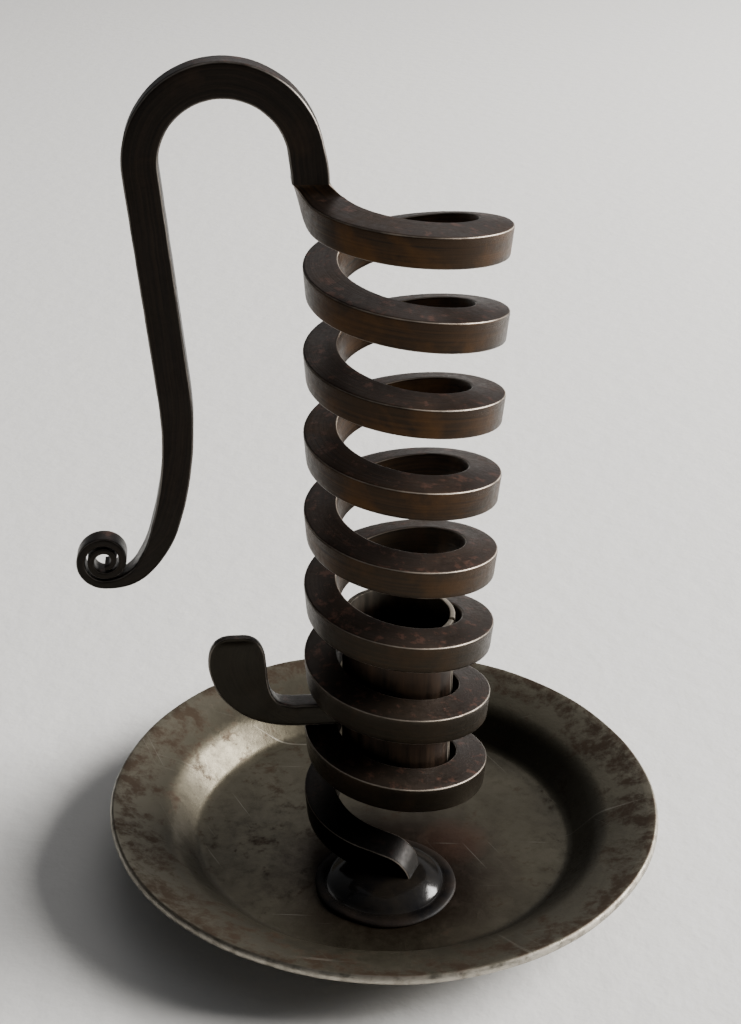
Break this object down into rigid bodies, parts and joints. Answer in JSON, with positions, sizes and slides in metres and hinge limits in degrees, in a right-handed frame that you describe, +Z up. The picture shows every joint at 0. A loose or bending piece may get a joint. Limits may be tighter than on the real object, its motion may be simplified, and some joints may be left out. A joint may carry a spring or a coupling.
{
  "type": "spiral candle holder",
  "caption": "Forged spiral candle holder: an iron bar coiled on edge in a drip pan, a scrolled hook handle, and a candle cup that climbs the coil when its thumb lever is turned.",
  "frame": {"origin": "centre of the drip pan's underside, which rests on the table", "axes": "+Z up along the coil, the hooked handle towards -X, and -Y towards the side where the coil's foot meets the pan"},
  "size_m": [0.1298, 0.1264, 0.181],
  "materials": {
    "pan_steel": "tarnished sheet steel, scratched, rust-brown near the rim",
    "boss_black": "glossy black",
    "rivet_steel": "dull steel",
    "forged_iron": "dark satin, bronze-brown, edges worn bright",
    "cup_sheet": "browned sheet with vertical streaks"
  },
  "bodies": {
    "base": {"drip_pan": "pan_steel", "foot_boss": "boss_black", "foot_rivet": "rivet_steel", "spiral_coil": "forged_iron", "hook_handle": "forged_iron"},
    "carriage": {"cup_floor": "cup_sheet"},
    "lifter": {"candle_cup": "cup_sheet", "thumb_lever": "forged_iron"}
  },
  "joints": [
    {"name": "lifter_rise", "type": "slide", "parent": "base", "child": "carriage", "axis": [0, 0, 1], "range_m": [-0.0108, 0.1234]},
    {"name": "lifter_turn", "type": "hinge", "parent": "carriage", "child": "lifter", "pos_m": [0.00245, 0, 0.0368], "axis": [0, 0, -1], "range_deg": [-216, 2480]}
  ],
  "couplings": [
    {"joint": "lifter_rise", "follows": "lifter_turn", "m_per_rad": 0.0028489}
  ]
}
